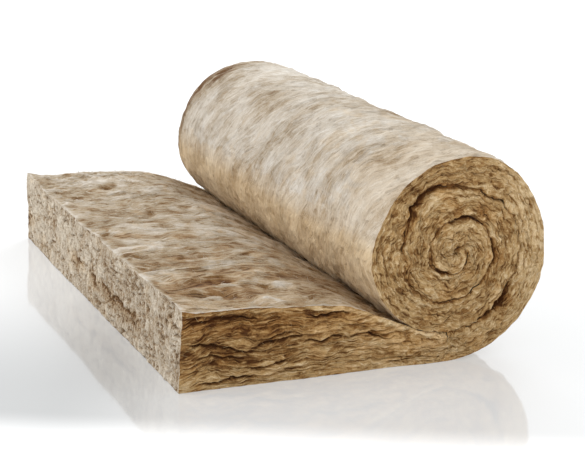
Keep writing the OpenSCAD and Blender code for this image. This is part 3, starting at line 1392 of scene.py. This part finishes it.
@dataclass(frozen=True)
class Studio:
    """A pale glossy floor, soft light and the camera.

    Attributes:
        eye: Camera's place, in metres.
        azimuth: Direction that it looks along, in degrees from +Y.
        elevation: Its height above the horizon, in degrees.
        roll: How far it is turned about its own line of sight, in degrees.
        lens: Focal length for a sensor 36 mm wide, in millimetres.
        floor_reach: How far the floor reaches from the middle, in metres.
        floor_level: Its height, a little under the mat, in metres.
        lamps: The lamps.
    """

    eye: Place = (-1.5050, -3.4742, 1.2253)
    azimuth: float = -24.60
    elevation: float = 15.99
    roll: float = 2.35
    lens: float = 98.2
    floor_reach: float = 30.0
    floor_level: float = -0.001
    lamps: tuple[Lamp, ...] = (
        Lamp("back_lamp", (2.0, 2.4, 2.2), (0.1, 0.0, 0.3), 2.0, 86.0, (0.90, 0.96, 1.0)),
        Lamp("left_lamp", (-3.0, 0.4, 1.8), (-0.1, 0.0, 0.2), 1.5, 34.0, (1.0, 0.99, 0.97)),
    )

    def camera(self) -> None:
        """Places the camera."""
        a, e, r = (math.radians(angle) for angle in (self.azimuth, self.elevation, self.roll))
        back = Vector((math.sin(a) * math.cos(e), -math.cos(a) * math.cos(e), math.sin(e)))
        level = Vector((math.cos(a), math.sin(a), 0.0))
        upright = back.cross(level)
        right = level * math.cos(r) + upright * math.sin(r)
        up = upright * math.cos(r) - level * math.sin(r)
        data = bpy.data.cameras.new("camera")
        data.lens = self.lens
        data.sensor_width = 36.0
        data.clip_end = 100.0
        camera = placed("camera", data)
        turn = Matrix((right, up, back)).transposed()
        camera.matrix_world = Matrix.Translation(self.eye) @ turn.to_4x4()
        bpy.context.scene.camera = camera

    def floor_finish(self) -> bpy.types.Material:
        """Builds the floor's gloss, with painted light: the floor glows, less in a soft darker pool beside
        the mat that paints a shadow there, and more in a paler band ahead of the mat.
        """
        material, tree = Tree.of_material("studio_floor")
        place = tree.turned(tree.node("ShaderNodeTexCoord", output="Object"), -self.azimuth)
        right = tree.node("ShaderNodeSeparateXYZ", {"Vector": place}, output="X")
        away = tree.node("ShaderNodeSeparateXYZ", {"Vector": place}, output="Y")
        # Painted light and shadow: the floor glows though it is no lamp, less in a pool beside the cut end,
        # which stands for the mat's shadow there, and more in a band ahead of the mat.
        painted_shadow_pool = right.between(-1.8, -0.7) * (1 - right.between(-0.4, -0.05)) * (1 - away.between(-0.75, 0.05))
        painted_bright_front = 1 - away.between(-1.0, -0.84)
        painted_floor_glow = 0.33 - painted_shadow_pool * 0.31 + painted_bright_front * 0.5
        values = {"Base Color": (0.48, 0.495, 0.51, 1.0), "Roughness": 0.07, "IOR": 1.95}
        values |= {"Emission Color": tree.mixed(painted_floor_glow, (0.0, 0.0, 0.0, 1.0), (1.0, 1.0, 1.0, 1.0))}
        values |= {"Emission Strength": 1.0}
        tree.finish(tree.node("ShaderNodeBsdfPrincipled", values))
        return material

    def floor(self) -> None:
        """Lays the floor."""
        mesh = bpy.data.meshes.new("studio_floor")
        ends = ((-1, -1), (1, -1), (1, 1), (-1, 1))
        corners = [(x * self.floor_reach, y * self.floor_reach, self.floor_level) for x, y in ends]
        mesh.from_pydata(corners, [], [(0, 1, 2, 3)])
        mesh.materials.append(self.floor_finish())
        placed("studio_floor", mesh)

    def sky(self) -> None:
        """Surrounds the scene with soft white light, plain white where it is seen."""
        world = bpy.data.worlds.new("studio_sky")
        bpy.context.scene.world = world
        world.use_nodes = True
        world.node_tree.nodes.clear()
        tree = Tree(world.node_tree)
        path = tree.node("ShaderNodeLightPath", output="Is Diffuse Ray")
        lit = tree.node("ShaderNodeBackground", {"Color": (1.0, 0.98, 0.945, 1.0), "Strength": 0.85})
        seen = tree.node("ShaderNodeBackground", {"Color": (1.0, 1.0, 1.0, 1.0), "Strength": 1.1})
        tree.finish(tree.node("ShaderNodeMixShader", {0: path, 1: seen, 2: lit}), "ShaderNodeOutputWorld")

    def build(self) -> None:
        """Builds the whole studio."""
        bpy.context.scene.view_settings.view_transform = "Standard"
        self.camera()
        self.floor()
        self.sky()
        for lamp in self.lamps:
            lamp.hang()
        log.info("studio: floor, sky, lamps and camera")


# ---------------------------------------------------------------- build


WOUND = WoolFinish(
    name="wound_wool",
    hollow=(0.16, 0.080, 0.033),
    brown=(0.42, 0.335, 0.24),
    tan=(0.60, 0.535, 0.455),
    pale=(0.80, 0.765, 0.715),
    golden=(1.0, 0.845, 0.62),
    streak=(0.09, 0.0085),
    strand=(0.11, 0.010),
    crevices=0.12,
    threads=0.20,
    spread=0.26,
    patches=0.5,
    grain=0.4,
)
TOP = WoolFinish(
    name="top_wool",
    hollow=(0.085, 0.036, 0.012),
    brown=(0.25, 0.150, 0.070),
    tan=(0.42, 0.335, 0.235),
    pale=(0.66, 0.605, 0.54),
    golden=(1.0, 0.76, 0.44),
    streak=(0.09, 0.008),
    strand=(0.13, 0.011),
    crevices=0.26,
    threads=0.22,
    spread=0.28,
    patches=0.8,
    grain=0.45,
)
LAYERED = WoolFinish(
    name="layered_wool",
    hollow=(0.095, 0.036, 0.010),
    brown=(0.28, 0.148, 0.050),
    tan=(0.50, 0.325, 0.145),
    pale=(0.82, 0.635, 0.39),
    golden=(1.0, 0.78, 0.50),
    streak=(0.04, 0.004),
    fibre=(0.018, 0.0022),
    strand=(0.07, 0.0095),
    crevices=0.30,
    threads=0.26,
    spread=0.40,
    patches=0.30,
    grain=0.48,
    sheen=0.04,
)
CUT = WoolFinish(
    name="cut_wool",
    hollow=(0.13, 0.07, 0.03),
    brown=(0.33, 0.235, 0.145),
    tan=(0.495, 0.415, 0.320),
    pale=(0.72, 0.645, 0.535),
    golden=(1.0, 0.86, 0.66),
    streak=(0.03, 0.008),
    fibre=(0.014, 0.004),
    strand=(0.03, 0.014),
    crevices=0.25,
    threads=0.15,
    relief=0.0024,
    spread=0.8,
    patches=0.35,
    grain=1.2,
)


def dress(piece: bpy.types.Object) -> None:
    """Makes a finished skin ride with the mat and logs how many faces it has."""
    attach(piece, BODY)
    log.info("%s: %d faces", piece.name, len(piece.data.polygons))


def main() -> None:
    """Builds the studio and the mat, piece by piece."""
    logging.basicConfig(level=logging.INFO, format="%(message)s")
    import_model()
    Studio().build()
    shape, uneven = MatShape.from_frame(), Unevenness()
    layered, top_wool = LAYERED.material(), TOP.material()
    wound = WoundSkin(shape, uneven).grid().object("wound_skin", WOUND.material())
    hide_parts(NODE)
    top = TopSkin(shape, uneven).grid().object("top_skin", top_wool)
    cut = CutEnd(shape, uneven).grid().object("cut_end", CUT.material())
    under = Underside(shape, uneven).grid().object("underside", top_wool)
    near_side = LayeredSide(shape, uneven, Side.NEAR, NEAR_MARKS)
    far_side = LayeredSide(shape, uneven, Side.FAR, FAR_MARKS, flat_rows=80, wound_rows=36, step=0.004)
    near = near_side.grid(near_side.flat_part()).object("near_side", layered)
    near_end = near_side.grid(near_side.wound_part()).object("near_end", layered, merge=1e-5)
    far = far_side.grid(far_side.flat_part()).object("far_side", layered)
    far_end = far_side.grid(far_side.wound_part()).object("far_end", layered, merge=1e-5)
    for skin in (wound, top, cut, under, near, near_end, far, far_end):
        dress(skin)
    pale = FibreFinish("pale_fibre", (0.66, 0.58, 0.47)).material()
    tan = FibreFinish("tan_fibre", (0.60, 0.43, 0.23)).material()
    grown = ((wound, pale, (0, 1)), (top, pale, (0, 1)), (cut, pale, (1, 2)))
    grown += tuple((skin, tan, (0, 2)) for skin in (near, near_end, far, far_end))
    for number, (skin, finish, seen_along) in enumerate(grown):
        fibres = LooseFibres(seed=3 + number, seen_along=seen_along)
        dress(fibres.on(skin, f"{skin.name}_fibres", finish))


if __name__ == "__main__":
    main()
